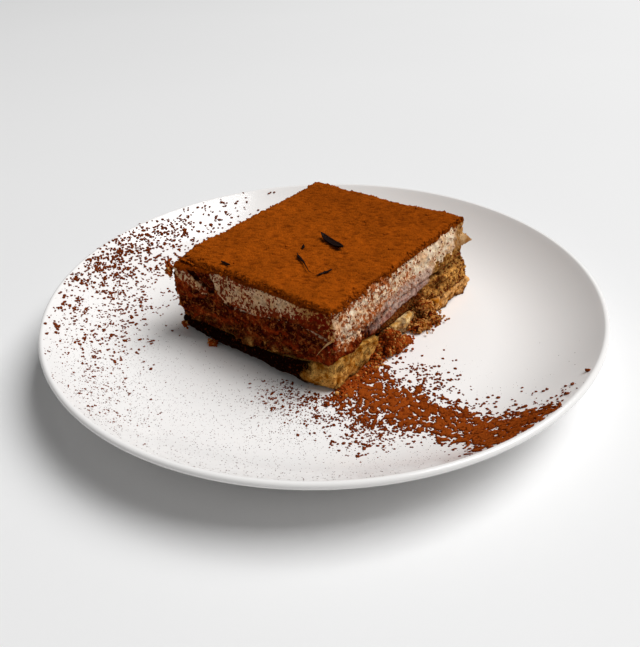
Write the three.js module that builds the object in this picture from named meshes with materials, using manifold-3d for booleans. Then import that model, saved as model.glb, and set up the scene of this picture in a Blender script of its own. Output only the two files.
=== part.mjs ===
// Tiramisu slice on its white coupe plate, in millimetres, +Z up.
// The origin is the plate's centre, on the underside of its foot ring. The slice's long cut face
// looks along -Y and its short one along -X, and the lower ladyfingers run along Y.

import * as THREE from "three";
import { mergeVertices } from "three/addons/utils/BufferGeometryUtils.js";
import Module from "manifold-3d";

const wasm = await Module();
wasm.setup();

// ---- Driving dimensions --------------------------------------------------------------------

const PLATE_RADIUS = 115; // nine-inch coupe plate
const PLATE_HEIGHT = 24;
const PLATE_FLOOR = 6.5; // glazed top of the flat middle
const PLATE_FLAT_RADIUS = 72; // where the middle starts to curve up
const PLATE_UNDERSIDE = 2.5;
const PLATE_WALL = 2.6; // across the curved part
const LIP_RADIUS = 1.3; // half the rounded rim's thickness
const RIM_SLOPE = THREE.MathUtils.degToRad(43); // how steeply the eating surface meets the rim
const FOOT_RADIUS = 63;
const FOOT_WIDTH = 5;
const PLATE_SEGMENTS = 84;

const SLICE = { minX: -38.5, maxX: 54.5, minY: -34.8, maxY: 42.5 }; // its cut faces at the top
const SLICE_TOP = 43.1;
const COCOA_THICKNESS = 1.3;
const COCOA_EDGE_RADIUS = 2.2;
const CREAM_BASE = 28;
const UPPER_SPONGE_BASE = 14.3;
const FRONT_CORNER_RISE = 5.5; // the lower finger is least squashed at the near corner
const GAP = 0.3; // between pieces that touch
const FINGER_GAP = 0.5; // over the crowned lower fingers
const SMEAR_DEPTH = 1.6; // how far the cut sponge stands back behind the smeared cream

// The leftmost finger's outer side tapers towards its ends. wornLeft and wornRight say how much
// of each side has crumbled off at the near end, at the finger's foot and at its top.
const LOWER_FINGERS = [
  { minX: -41.3, maxX: -6.4, minY: -35.2, maxY: 46.0, tapers: true, wornLeft: [0, 0], wornRight: [7, 0] },
  { minX: 1.4, maxX: 21.2, minY: -35.0, maxY: 45.4, tapers: false, wornLeft: [1, 0], wornRight: [4, 3] },
  { minX: 24.2, maxX: 58.0, minY: -38.2, maxY: 44.8, tapers: false, wornLeft: [7, 5], wornRight: [0, 0] },
];
const FINGER_TAPER = 2.6;
const WORN_REACH = 14; // how far along a finger from its near end the crumbling goes

// ---- Repeatable noise and random draws ------------------------------------------------------

function latticeValue(i, j, k) {
  let bits = Math.imul(i, 0x1b873593) ^ Math.imul(j, 0x2545f491) ^ Math.imul(k, 0x9e3779b1);
  bits = Math.imul(bits ^ (bits >>> 15), 0x85ebca6b);
  bits = Math.imul(bits ^ (bits >>> 13), 0xc2b2ae35);
  return ((bits ^ (bits >>> 16)) >>> 0) / 2147483648 - 1;
}

// Smooth value noise between -1 and 1, one lattice cell to each unit of length
function noise(x, y, z) {
  const [i, j, k] = [Math.floor(x), Math.floor(y), Math.floor(z)];
  const [u, v, w] = [x - i, y - j, z - k].map((t) => t * t * (3 - 2 * t));
  let sum = 0;
  for (const a of [0, 1]) {
    for (const b of [0, 1]) {
      for (const c of [0, 1]) {
        const weight = (a ? u : 1 - u) * (b ? v : 1 - v) * (c ? w : 1 - w);
        sum += weight * latticeValue(i + a, j + b, k + c);
      }
    }
  }
  return sum;
}

function seededRandom(seed) {
  let state = seed;
  return () => {
    state = (Math.imul(state, 1664525) + 1013904223) >>> 0;
    return state / 4294967296;
  };
}

// 0 at from, 1 at to, easing in and out; from may lie above to
function fade(value, from, to) {
  const t = THREE.MathUtils.clamp((value - from) / (to - from), 0, 1);
  return t * t * (3 - 2 * t);
}

function bump(value, middle, reach) {
  return Math.exp(-(((value - middle) / reach) ** 2));
}

// ---- Geometry helpers -----------------------------------------------------------------------

// A block of cells bent by place(u, v, w), each of u, v and w running from 0 to 1
function bentBlock(cellsX, cellsY, cellsZ, place) {
  const box = new THREE.BoxGeometry(1, 1, 1, cellsX, cellsY, cellsZ);
  box.deleteAttribute("normal");
  box.deleteAttribute("uv");
  const geometry = mergeVertices(box);
  const position = geometry.attributes.position;
  for (let i = 0; i < position.count; i += 1) {
    const point = place(position.getX(i) + 0.5, position.getY(i) + 0.5, position.getZ(i) + 0.5);
    position.setXYZ(i, point.x, point.y, point.z);
  }
  return geometry;
}

function solidFrom(geometry) {
  const bare = geometry.clone();
  bare.deleteAttribute("normal");
  bare.deleteAttribute("uv");
  const merged = mergeVertices(bare, 1e-4);
  const corners = merged.index.array;
  const kept = [];
  for (let i = 0; i < corners.length; i += 3) {
    const [a, b, c] = [corners[i], corners[i + 1], corners[i + 2]];
    if (a !== b && b !== c && c !== a) {
      kept.push(a, b, c);
    }
  }
  const vertProperties = new Float32Array(merged.attributes.position.array);
  return new wasm.Manifold(new wasm.Mesh({ numProp: 3, vertProperties, triVerts: new Uint32Array(kept) }));
}

function geometryFrom(solid) {
  const { vertProperties, triVerts } = solid.getMesh();
  const geometry = new THREE.BufferGeometry();
  geometry.setAttribute("position", new THREE.BufferAttribute(vertProperties, 3));
  geometry.setIndex(new THREE.BufferAttribute(triVerts, 1));
  return geometry;
}

// A crumb or clump of cocoa: a faceted lump with uneven facets
function lump(center, size, seed) {
  const geometry = new THREE.IcosahedronGeometry(1, 0);
  geometry.deleteAttribute("normal");
  geometry.deleteAttribute("uv");
  const merged = mergeVertices(geometry, 1e-4);
  const position = merged.attributes.position;
  for (let i = 0; i < position.count; i += 1) {
    const point = new THREE.Vector3().fromBufferAttribute(position, i);
    point.multiplyScalar(1 + 0.22 * noise(3 * point.x + seed, 3 * point.y, 3 * point.z));
    point.multiply(size).add(center);
    position.setXYZ(i, point.x, point.y, point.z);
  }
  return merged;
}

function fuse(first, others) {
  let solid = solidFrom(first);
  for (const other of others) {
    solid = solid.add(solidFrom(other));
  }
  return geometryFrom(solid);
}

function namedMesh(name, geometry, color, roughness) {
  const material = new THREE.MeshStandardMaterial({ color, roughness, metalness: 0 });
  const mesh = new THREE.Mesh(geometry, material);
  mesh.name = name;
  return mesh;
}

// ---- Plate ----------------------------------------------------------------------------------

const LIP_CENTER = new THREE.Vector2(PLATE_RADIUS - LIP_RADIUS, PLATE_HEIGHT - LIP_RADIUS);
const RIM_JOIN = new THREE.Vector2(
  LIP_CENTER.x - LIP_RADIUS * Math.sin(RIM_SLOPE),
  LIP_CENTER.y + LIP_RADIUS * Math.cos(RIM_SLOPE),
);
const WALL_RUN = RIM_JOIN.x - PLATE_FLAT_RADIUS;
const WALL_RISE = RIM_JOIN.y - PLATE_FLOOR;
const WALL_CURVE = (Math.tan(RIM_SLOPE) * WALL_RUN) / WALL_RISE;

// Height of the eating surface at a distance from the centre: flat, then curving up to the rim
function bowlHeight(radius) {
  const t = Math.max(0, radius - PLATE_FLAT_RADIUS) / WALL_RUN;
  return PLATE_FLOOR + WALL_RISE * t ** WALL_CURVE;
}

function plateProfile() {
  const footInner = FOOT_RADIUS - FOOT_WIDTH;
  const profile = [
    [0, PLATE_UNDERSIDE],
    [footInner - 1.5, PLATE_UNDERSIDE],
    [footInner, 0],
    [FOOT_RADIUS, 0],
    [FOOT_RADIUS + 2.5, PLATE_UNDERSIDE],
  ];
  // The outside runs a wall's thickness below the eating surface, up to the rolled lip
  for (const t of [0.1, 0.36, 0.58, 0.78, 0.95]) {
    const radius = PLATE_FLAT_RADIUS + WALL_RUN * t;
    const slope = bowlHeight(radius + 0.5) - bowlHeight(radius - 0.5);
    profile.push([radius, bowlHeight(radius) - PLATE_WALL * Math.hypot(1, slope)]);
  }
  for (const degrees of [-47, 0, 45, 90]) {
    const angle = THREE.MathUtils.degToRad(degrees);
    profile.push([LIP_CENTER.x + LIP_RADIUS * Math.cos(angle), LIP_CENTER.y + LIP_RADIUS * Math.sin(angle)]);
  }
  for (const t of [1, 0.92, 0.82, 0.7, 0.56, 0.4, 0.2]) {
    const radius = PLATE_FLAT_RADIUS + WALL_RUN * t;
    profile.push([radius, bowlHeight(radius)]);
  }
  profile.push([PLATE_FLAT_RADIUS, PLATE_FLOOR], [0, PLATE_FLOOR]);
  return profile.map(([radius, height]) => new THREE.Vector2(radius, height));
}

function polarPoint(radius, degrees, lift) {
  const angle = THREE.MathUtils.degToRad(degrees);
  const [x, y] = [radius * Math.cos(angle), radius * Math.sin(angle)];
  return new THREE.Vector3(x, y, bowlHeight(radius) + lift);
}

// The cocoa that was tapped over the plate: a drift from the near finger's foot to the rim.
// Each row is a place along it, with the drift's middle there and half its width.
const DRIFT_ROWS = [
  { y: -39.5, x: -26, halfWidth: 12.5 },
  { y: -52, x: -26, halfWidth: 9.5 },
  { y: -74, x: -27.5, halfWidth: 9 },
  { y: -85, x: -29, halfWidth: 6.5 },
  { y: -97, x: -30.5, halfWidth: 12.5 },
  { y: -107.5, x: -32, halfWidth: 9.5 },
];

function cocoaDrift() {
  const depth = 0.75;
  const sunk = 0.5;
  const along = (v) => (1 - v) * (DRIFT_ROWS.length - 1);
  const rowValue = (v, key) => {
    const row = Math.min(Math.floor(along(v)), DRIFT_ROWS.length - 2);
    return THREE.MathUtils.lerp(DRIFT_ROWS[row][key], DRIFT_ROWS[row + 1][key], along(v) - row);
  };
  return bentBlock(8, 20, 1, (u, v, w) => {
    const ragged = 1 + 0.15 * noise(1.4 * along(v), 2.3 * Math.sign(u - 0.5), 4);
    const x = rowValue(v, "x") + (2 * u - 1) * rowValue(v, "halfWidth") * ragged;
    const y = rowValue(v, "y");
    const edge = Math.min(fade(u, 0, 0.25) * fade(u, 1, 0.75), fade(v, 0, 0.08) * fade(v, 1, 0.92));
    const heaped = depth * (edge + 0.35 * noise(x / 3, y / 3, 2));
    const lift = w > 0.5 ? Math.max(heaped, -sunk / 2) * edge - 0.15 * (1 - edge) : -sunk;
    return new THREE.Vector3(x, y, bowlHeight(Math.hypot(x, y)) + lift);
  });
}

// The largest clumps of cocoa on the plate, each draw from the stretch that it lies on
const CLUMP_STRETCHES = [
  { count: 32, radii: [82, 110], degrees: [96, 150], sizes: [0.8, 1.3] },
  { count: 10, radii: [98, 110], degrees: [64, 92], sizes: [0.7, 1.0] },
  { count: 8, radii: [66, 104], degrees: [150, 180], sizes: [0.6, 0.8] },
  { count: 9, radii: [50, 72], degrees: [265, 278], sizes: [0.8, 1.1] },
  { count: 8, radii: [94, 109], degrees: [261, 269], sizes: [0.8, 1.1] },
  { count: 6, radii: [68, 84], degrees: [218, 231], sizes: [0.7, 1.0] },
];
const CLUMP_SPACING = 3.4;

const SINGLE_CRUMBS = [
  { radius: 50.3, degrees: 301.4, size: 1.3 },
  { radius: 111.2, degrees: 274.1, size: 1.3 },
  { radius: 51.0, degrees: 148.4, size: 1.9 },
];

function cocoaClumps() {
  const random = seededRandom(41);
  const placed = [];
  const clumps = [];
  const draw = ([low, high]) => low + (high - low) * random();
  for (const stretch of CLUMP_STRETCHES) {
    let left = stretch.count;
    while (left > 0) {
      const center = polarPoint(draw(stretch.radii), draw(stretch.degrees), 0.15);
      const size = draw(stretch.sizes);
      const clear = placed.every((other) => other.distanceTo(center) > CLUMP_SPACING);
      if (clear) {
        placed.push(center);
        clumps.push(lump(center, new THREE.Vector3(size, size * 0.85, size * 0.6), placed.length));
        left -= 1;
      }
    }
  }
  for (const { radius, degrees, size } of SINGLE_CRUMBS) {
    const center = polarPoint(radius, degrees, size * 0.3);
    clumps.push(lump(center, new THREE.Vector3(size, size * 0.8, size * 0.7), radius));
  }
  return clumps;
}

function plate() {
  const turned = new THREE.LatheGeometry(plateProfile(), PLATE_SEGMENTS);
  turned.rotateX(Math.PI / 2);
  return namedMesh("plate", fuse(turned, [cocoaDrift(), ...cocoaClumps()]), 0xf2f0ee, 0.15);
}

// ---- Heights of the slice's layers -----------------------------------------------------------

function edgeDistance(x, y) {
  return Math.max(0, Math.min(x - SLICE.minX, SLICE.maxX - x, y - SLICE.minY, SLICE.maxY - y));
}

// The top rolls over at its edges and sags towards the slumped back left corner
function topHeight(x, y) {
  const inside = Math.min(edgeDistance(x, y), COCOA_EDGE_RADIUS);
  const fromArc = COCOA_EDGE_RADIUS - inside;
  const rolled = COCOA_EDGE_RADIUS - Math.sqrt(COCOA_EDGE_RADIUS ** 2 - fromArc ** 2);
  const sag = 1.3 * fade(x, SLICE.minX + 6, SLICE.minX) * fade(y, 14, SLICE.maxY);
  return SLICE_TOP - 0.75 * rolled - sag + 0.3 * noise(x / 13, y / 13, 1);
}

// The cream is deepest at the back left, and the knife dragged it down the near face
function creamBase(x, y) {
  const atLeft = THREE.MathUtils.lerp(32, 26.5, fade(y, -30, 28));
  const level = THREE.MathUtils.lerp(atLeft, CREAM_BASE, fade(x, SLICE.minX, 8));
  const dragged = Math.exp(-Math.max(0, y - SLICE.minY) / 2.5);
  return level - (level - 26) * dragged + 0.5 * noise(x / 16, y / 16, 5);
}

function spongeBase(x, y) {
  const corner = bump(x, -34, 26) * bump(y, -34, 20);
  return UPPER_SPONGE_BASE + FRONT_CORNER_RISE * corner + 0.3 * noise(x / 18, y / 18, 9);
}

// ---- The slice's cut faces -------------------------------------------------------------------

// 0 at the slice's top and 1 at the plate
function depthShare(z) {
  return THREE.MathUtils.clamp((SLICE_TOP - z) / (SLICE_TOP - PLATE_FLOOR), 0, 1);
}

// How far the slumped slice leans out past the top's outline, on each side
const leanOut = {
  left: (y, z) => 4.4 * fade(y, 20, 42) * fade(z, 41, 38) * fade(z, 13, 25) + 2.2 * depthShare(z),
  right: (y, z) => 2 * fade(z, 42, 36) - 3.6 * bump(z, 25, 1.8) * bump(y, -34, 30) + depthShare(z),
  near: (x, z) => 3.2 * fade(x, 14, 34) * fade(z, 27, 21) + 0.6 * depthShare(z),
  far: (x, z) => 2.8 * depthShare(z) + 2.4 * fade(x, -16, -38) * fade(z, 41, 38) * fade(z, 13, 25),
};

function smearCovers(x, z) {
  return x > -19 && x < 36 && z > 12 && z < 30;
}

// Distances of the grid's lines from one side, close together at the rolled edges
const EDGE_LINES = [0, 0.9, 2.6];
const EDGE_ZONE = EDGE_LINES.at(-1);

function gridLines(cells, length) {
  const inner = cells - 2 * (EDGE_LINES.length - 1);
  const lines = [...EDGE_LINES];
  for (let i = 1; i < inner; i += 1) {
    lines.push(THREE.MathUtils.lerp(EDGE_ZONE, length - EDGE_ZONE, i / inner));
  }
  return [...lines, ...EDGE_LINES.map((distance) => length - distance).reverse()];
}

const CELLS_X = 17;
const CELLS_Y = 14;
const LINES_X = gridLines(CELLS_X, SLICE.maxX - SLICE.minX);
const LINES_Y = gridLines(CELLS_Y, SLICE.maxY - SLICE.minY);
const CORNER_CUT = 1.6;

// The slice was cut a little out of square: it widens at its near right and far right corners
function outOfSquare(x, y) {
  return new THREE.Vector2(
    3.2 * fade(x, 20, SLICE.maxX) * fade(y, 12, SLICE.minY),
    1.9 * fade(y, 10, SLICE.maxY) * fade(x, -30, SLICE.maxX),
  );
}

// One layer through the whole slice, between two surfaces, with crags on its cut faces
function sliceLayer(cellsZ, floorAt, roofAt, crag) {
  return bentBlock(CELLS_X, CELLS_Y, cellsZ, (u, v, w) => {
    let x = SLICE.minX + LINES_X[Math.round(u * CELLS_X)];
    let y = SLICE.minY + LINES_Y[Math.round(v * CELLS_Y)];
    const z = THREE.MathUtils.lerp(floorAt(x, y), roofAt(x, y), w);
    const rough = crag.depth * noise((x + y) / crag.pitch, (x - y) / crag.pitch, z / 4 + crag.seed);
    const sideX = u === 0 || u === 1;
    const sideY = v === 0 || v === 1;
    const corner = sideX && sideY ? CORNER_CUT : 0;
    const spread = outOfSquare(x, y);
    if (u === 0) {
      x -= leanOut.left(y, z) + rough - corner;
    } else if (u === 1) {
      x += leanOut.right(y, z) + rough - corner;
    }
    const fromNear = y - SLICE.minY;
    if (crag.smeared && fromNear < EDGE_ZONE && smearCovers(x, z)) {
      y += SMEAR_DEPTH * (1 - fromNear / EDGE_ZONE);
    } else if (v === 0) {
      y -= leanOut.near(x, z) + rough - corner;
    } else if (v === 1) {
      y += leanOut.far(x, z) + rough - corner;
    }
    return new THREE.Vector3(x + spread.x, y + spread.y, z);
  });
}

function cocoaTop() {
  const crag = { depth: 0.35, pitch: 5, seed: 11 };
  const underside = (x, y) => topHeight(x, y) - COCOA_THICKNESS;
  return namedMesh("cocoa_top", sliceLayer(1, underside, topHeight, crag), 0x8a4415, 0.95);
}

function mascarpone() {
  const crag = { depth: 0.55, pitch: 7, seed: 23 };
  const roof = (x, y) => topHeight(x, y) - COCOA_THICKNESS - GAP;
  return namedMesh("mascarpone", sliceLayer(3, creamBase, roof, crag), 0xd9bd97, 0.5);
}

function upperSponge() {
  const crag = { depth: 1.0, pitch: 5, seed: 37, smeared: true };
  const roof = (x, y) => creamBase(x, y) - GAP;
  return namedMesh("sponge_upper", sliceLayer(4, spongeBase, roof, crag), 0x7a4320, 0.8);
}

// Cream that the knife pulled across the cut sponge, a thin patch on the near face
function creamSmear() {
  const reach = { minX: -13.5, maxX: 31 };
  const wall = SLICE.minY + SMEAR_DEPTH - GAP;
  const patch = bentBlock(14, 1, 3, (u, v, w) => {
    const x = THREE.MathUtils.lerp(reach.minX, reach.maxX, u);
    const taper = 0.35 + 0.65 * Math.sqrt(Math.sin(Math.PI * THREE.MathUtils.clamp(u, 0.02, 0.98)));
    const middle = THREE.MathUtils.lerp(19.8, 23.2, fade(x, -10, 6));
    const halfHeight = 2.7 * taper + 0.35 * noise(x / 4, 7, 2);
    const z = middle + (2 * w - 1) * halfHeight;
    const thin = 0.45 + 1.1 * Math.sin(Math.PI * w) * taper;
    const y = v > 0.5 ? wall : wall - thin - 0.25 * noise(x / 5, z / 3, 6);
    return new THREE.Vector3(x, y, z);
  });
  return namedMesh("mascarpone_smear", patch, 0xb79a86, 0.45);
}

// A soaked ladyfinger: a bar pressed almost square by its neighbours and cut across at its ends
function lowerFinger(bar, index) {
  const squareness = 7;
  const floor = PLATE_FLOOR + GAP;
  const geometry = bentBlock(6, 11, 3, (u, v, w) => {
    const [a, c] = [2 * u - 1, 2 * w - 1];
    const span = (Math.abs(a) ** squareness + Math.abs(c) ** squareness) ** (1 / squareness);
    const round = span > 0 ? Math.max(Math.abs(a), Math.abs(c)) / span : 1;
    const y = THREE.MathUtils.lerp(bar.minY, bar.maxY, v);
    const wander = 0.5 * noise(index * 5, y / 14, 3);
    const middleX = (bar.minX + bar.maxX) / 2 + wander;
    const halfX = (bar.maxX - bar.minX) / 2 + 0.35 * noise(y / 6, w * 2, index);
    const atEnds = Math.max(fade(y, bar.minY + 12, bar.minY), fade(y, bar.maxY - 12, bar.maxY));
    const taper = bar.tapers && a < 0 ? FINGER_TAPER * atEnds : 0;
    const [atFoot, atTop] = a < 0 ? bar.wornLeft : bar.wornRight;
    const worn = THREE.MathUtils.lerp(atFoot, atTop, w) * fade(y, bar.minY + WORN_REACH, bar.minY);
    const straightX = middleX + a * (round * halfX - worn - taper);
    const x = straightX + outOfSquare(straightX, y).x;
    const roof = spongeBase(x, y) - FINGER_GAP;
    const z = floor + (roof - floor) * (0.5 + 0.5 * c * round);
    const end = v === 0 || v === 1 ? 0.7 * noise(x / 5, z / 3, index + 4) : 0;
    return new THREE.Vector3(x, y + end, z);
  });
  return namedMesh(`ladyfinger_lower_${index + 1}`, geometry, 0xa9793f, 0.75);
}

// ---- Crumbs fallen from the near face ----------------------------------------------------------

// Each heap is a core with lumps fused on: x, y, height of centre and radius of each
const CRUMB_HEAPS = [
  {
    name: "crumb_heap_middle",
    lumps: [
      [-2.8, -34.0, 10.6, 3.4], [-2.8, -36.4, 14.2, 2.5], [-2.9, -38.2, 10.8, 3.0],
      [-5.7, -38.6, 8.8, 2.1], [0.8, -39.6, 9.4, 2.4], [3.5, -39.8, 9.0, 2.1],
      [-2.2, -40.2, 8.4, 1.9], [-0.9, -38.4, 12.9, 2.2], [6.1, -39.6, 8.2, 1.7],
    ],
  },
  {
    name: "crumb_heap_right",
    lumps: [
      [15.2, -39.0, 8.6, 2.0], [17.9, -39.2, 9.2, 2.5], [21.0, -39.5, 9.4, 2.6],
      [24.0, -39.6, 9.2, 2.3], [26.4, -41.2, 8.2, 1.8], [22.2, -38.9, 12.2, 2.6],
      [25.2, -38.7, 11.8, 2.1], [23.8, -38.0, 15.2, 2.3], [21.0, -37.4, 16.8, 2.2],
    ],
  },
];

function crumbHeap({ name, lumps }) {
  const rocks = lumps.map(([x, y, z, radius], i) => {
    const center = new THREE.Vector3(x, y, z);
    return lump(center, new THREE.Vector3(radius, radius * 0.9, radius * 0.85), i + lumps.length);
  });
  const below = new THREE.BoxGeometry(60, 60, 10);
  below.translate(0, -40, PLATE_FLOOR + GAP - 5);
  const heap = solidFrom(fuse(rocks[0], rocks.slice(1))).subtract(solidFrom(below));
  return namedMesh(name, geometryFrom(heap), 0x6e3717, 0.9);
}

// ---- Chocolate shavings on the cocoa -----------------------------------------------------------

// Ends of each shaving's middle line, its widest place and how far its ends curl up
const SHAVINGS = [
  { from: [5.4, 4.0], to: [1.2, -10.6], width: 5.8, thickness: 0.7, curl: 0.55 },
  { from: [-13.0, 1.8], to: [-17.4, -5.2], width: 1.4, thickness: 0.5, curl: 0.3 },
  { from: [-23.2, -15.6], to: [-16.0, -17.8], width: 1.1, thickness: 0.5, curl: 0.25 },
  { from: [-5.4, 4.4], to: [-8.4, 2.6], width: 1.1, thickness: 0.5, curl: 0.2 },
  { from: [-35.3, 22.0], to: [-35.8, 16.4], width: 1.1, thickness: 0.5, curl: 0.2 },
];

function shaving({ from, to, width, thickness, curl }, index) {
  const start = new THREE.Vector2(...from);
  const along = new THREE.Vector2(...to).sub(start);
  const across = new THREE.Vector2(-along.y, along.x).normalize();
  const geometry = bentBlock(4, 7, 1, (u, v, w) => {
    const leaf = 0.12 + 0.88 * Math.sin(Math.PI * v) ** 0.75;
    const offset = (u - 0.5) * width * leaf * (1 + 0.15 * noise(4 * v, index, 2));
    const point = start.clone().addScaledVector(along, v).addScaledVector(across, -offset);
    const lift = curl * ((2 * v - 1) ** 4 + 0.5 * (2 * u - 1) ** 2);
    const bed = topHeight(point.x, point.y) + GAP + 0.15;
    return new THREE.Vector3(point.x, point.y, bed + lift + thickness * w);
  });
  return namedMesh(`chocolate_shaving_${index + 1}`, geometry, 0x21100a, 0.35);
}

// ---- The whole part ----------------------------------------------------------------------------

const tiramisu = new THREE.Group();
tiramisu.add(plate());
tiramisu.add(...LOWER_FINGERS.map(lowerFinger));
tiramisu.add(upperSponge(), mascarpone(), creamSmear(), cocoaTop());
tiramisu.add(...CRUMB_HEAPS.map(crumbHeap));
tiramisu.add(...SHAVINGS.map(shaving));

export default tiramisu;
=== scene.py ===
"""A tiramisu slice on a white coupe plate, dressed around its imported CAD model. Metres, +Z up."""

import math
import random

import bmesh
import bpy
import numpy as np
from mathutils import Matrix, Vector, noise


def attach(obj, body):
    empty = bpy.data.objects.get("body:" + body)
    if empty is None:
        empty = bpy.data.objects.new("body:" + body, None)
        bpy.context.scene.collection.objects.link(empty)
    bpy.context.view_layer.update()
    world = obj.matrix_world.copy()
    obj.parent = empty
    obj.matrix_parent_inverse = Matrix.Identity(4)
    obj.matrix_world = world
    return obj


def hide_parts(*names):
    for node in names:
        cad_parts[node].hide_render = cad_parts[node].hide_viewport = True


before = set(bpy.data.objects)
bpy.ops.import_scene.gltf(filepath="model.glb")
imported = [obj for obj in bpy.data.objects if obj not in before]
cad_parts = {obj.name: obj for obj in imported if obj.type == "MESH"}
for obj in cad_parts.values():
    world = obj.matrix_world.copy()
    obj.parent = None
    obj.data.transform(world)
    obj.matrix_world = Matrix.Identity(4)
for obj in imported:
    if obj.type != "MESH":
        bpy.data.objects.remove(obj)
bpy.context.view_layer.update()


# ---- Plate ------------------------------------------------------------------------------------
# A nine-inch coupe plate of hard porcelain, shaped on a wheel, so it is round in plan, with a
# rolled rim and a foot ring under its flat middle. It is dipped in clear glaze and fired, and
# only the foot ring's face is wiped bare to stand in the kiln.

MM = 0.001
PLATE_RADIUS = 115 * MM
PLATE_HEIGHT = 24 * MM
PLATE_FLOOR = 6.5 * MM
PLATE_FLAT_RADIUS = 72 * MM
PLATE_UNDERSIDE = 2.5 * MM
PLATE_WALL = 2.6 * MM
LIP_RADIUS = 1.3 * MM
RIM_SLOPE = math.radians(43)
# Degrees round the lip's section, from below it to its inner side
LIP_ARC = (-47, 124)
# The foot ring's section, as radius and height in mm
FOOT_PROFILE = [
    (56.5, 2.5), (57.4, 1.9), (58.1, 0.5), (58.8, 0), (62.3, 0), (63.2, 0.5), (64.1, 1.8), (65.6, 2.5)
]
PLATE_STEPS = 224
GLAZE_MOTTLE = 60 * MM
GLAZE_RIPPLE = 7 * MM
LIP_X = PLATE_RADIUS - LIP_RADIUS
LIP_Z = PLATE_HEIGHT - LIP_RADIUS
WALL_RUN = LIP_X - LIP_RADIUS * math.sin(RIM_SLOPE) - PLATE_FLAT_RADIUS
WALL_RISE = LIP_Z + LIP_RADIUS * math.cos(RIM_SLOPE) - PLATE_FLOOR
WALL_CURVE = math.tan(RIM_SLOPE) * WALL_RUN / WALL_RISE


def bowl_height(radius):
    """Height of the eating surface at a distance from the centre: flat, then curving up to the rim."""
    share = min(1.0, max(0.0, radius - PLATE_FLAT_RADIUS) / WALL_RUN)
    return PLATE_FLOOR + WALL_RISE * share**WALL_CURVE


def plate_profile():
    """The plate's section, as radius and height, from under its middle round the lip to the top."""
    section = [(0, PLATE_UNDERSIDE), (30 * MM, PLATE_UNDERSIDE)]
    section += [(x * MM, z * MM) for x, z in FOOT_PROFILE]
    for share in np.linspace(0.1, 0.95, 15):
        radius = PLATE_FLAT_RADIUS + WALL_RUN * share
        slope = (bowl_height(radius + MM / 2) - bowl_height(radius - MM / 2)) / MM
        section.append((radius, bowl_height(radius) - PLATE_WALL * math.hypot(1, slope)))
    for degrees in np.linspace(*LIP_ARC, 14):
        angle = math.radians(degrees)
        section.append((LIP_X + LIP_RADIUS * math.cos(angle), LIP_Z + LIP_RADIUS * math.sin(angle)))
    for share in np.linspace(1, 0, 30):
        radius = PLATE_FLAT_RADIUS + WALL_RUN * share
        section.append((radius, bowl_height(radius)))
    return section + [(48 * MM, PLATE_FLOOR), (24 * MM, PLATE_FLOOR), (0, PLATE_FLOOR)]


def add_piece(name, mesh):
    """An object at the origin from a finished mesh, smooth all over."""
    mesh.shade_smooth()
    piece = bpy.data.objects.new(name, mesh)
    bpy.context.scene.collection.objects.link(piece)
    return piece


def new_piece(name, shell):
    """An object from a finished bmesh."""
    mesh = bpy.data.meshes.new(name)
    shell.to_mesh(mesh)
    shell.free()
    return add_piece(name, mesh)


def finish_piece(piece, material, node, slot):
    """Gives a piece its material, puts it under the root body and hides the CAD node it stands for; slot is
    not used.
    """
    piece.data.materials.append(material)
    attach(piece, "root")
    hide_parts(node)


def linear(code):
    """A colour from its sRGB hex code, as the linear values that a shader takes."""
    channels = [int(code[i : i + 2], 16) / 255 for i in (1, 3, 5)]
    return (*[c / 12.92 if c <= 0.04045 else ((c + 0.055) / 1.055) ** 2.4 for c in channels], 1)


def fill_sockets(material, sockets, node=None):
    """Gives inputs of a node, or else of the shader, their links, hex colours or plain values."""
    node = node or material.node_tree.nodes["Principled BSDF"]
    for socket, value in sockets.items():
        if isinstance(value, bpy.types.NodeSocket):
            material.node_tree.links.new(value, node.inputs[socket])
        else:
            node.inputs[socket].default_value = linear(value) if isinstance(value, str) else value


def add_node(material, kind, sockets, **settings):
    """Adds one shader node with its settings and links, and gives back its outputs."""
    node = material.node_tree.nodes.new("ShaderNode" + kind)
    for setting, value in settings.items():
        setattr(node, setting, value)
    fill_sockets(material, sockets, node)
    return node.outputs


def new_material(name, **shader):
    """A material whose shader has these values all over."""
    material = bpy.data.materials.new(name)
    material.use_nodes = True
    fill_sockets(material, {key.replace("_", " "): value for key, value in shader.items()})
    return material


def glazed_porcelain():
    """Glazed porcelain: bright, even white with a hard, clear gloss, and a dull bare foot."""
    material = new_material("glazed porcelain", IOR=1.52, Specular_IOR_Level=0.35)
    place = add_node(material, "TexCoord", {})["Object"]
    height = add_node(material, "SeparateXYZ", {"Vector": place})["Z"]
    mottle, ripple = [
        add_node(material, "TexNoise", {"Vector": place, "Scale": 1 / size})["Fac"]
        for size in (GLAZE_MOTTLE, GLAZE_RIPPLE)
    ]
    white = add_node(material, "Mix", {0: mottle, 6: "#fdfbf9", 7: "#f8f6f4"}, data_type="RGBA")[2]
    bare = add_node(
        material, "MapRange", {"Value": height, "From Min": 0.5 * MM, "From Max": 0.2 * MM}
    )["Result"]
    colour = add_node(material, "Mix", {0: bare, 6: white, 7: "#d8d0c4"}, data_type="RGBA")[2]
    roughness = add_node(material, "MapRange", {"Value": bare, "To Min": 0.17, "To Max": 0.75})["Result"]
    normal = add_node(
        material, "Bump", {"Height": ripple, "Strength": 0.35, "Distance": 0.05 * MM}
    )["Normal"]
    fill_sockets(material, {"Base Color": colour, "Roughness": roughness, "Normal": normal})
    return material


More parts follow.
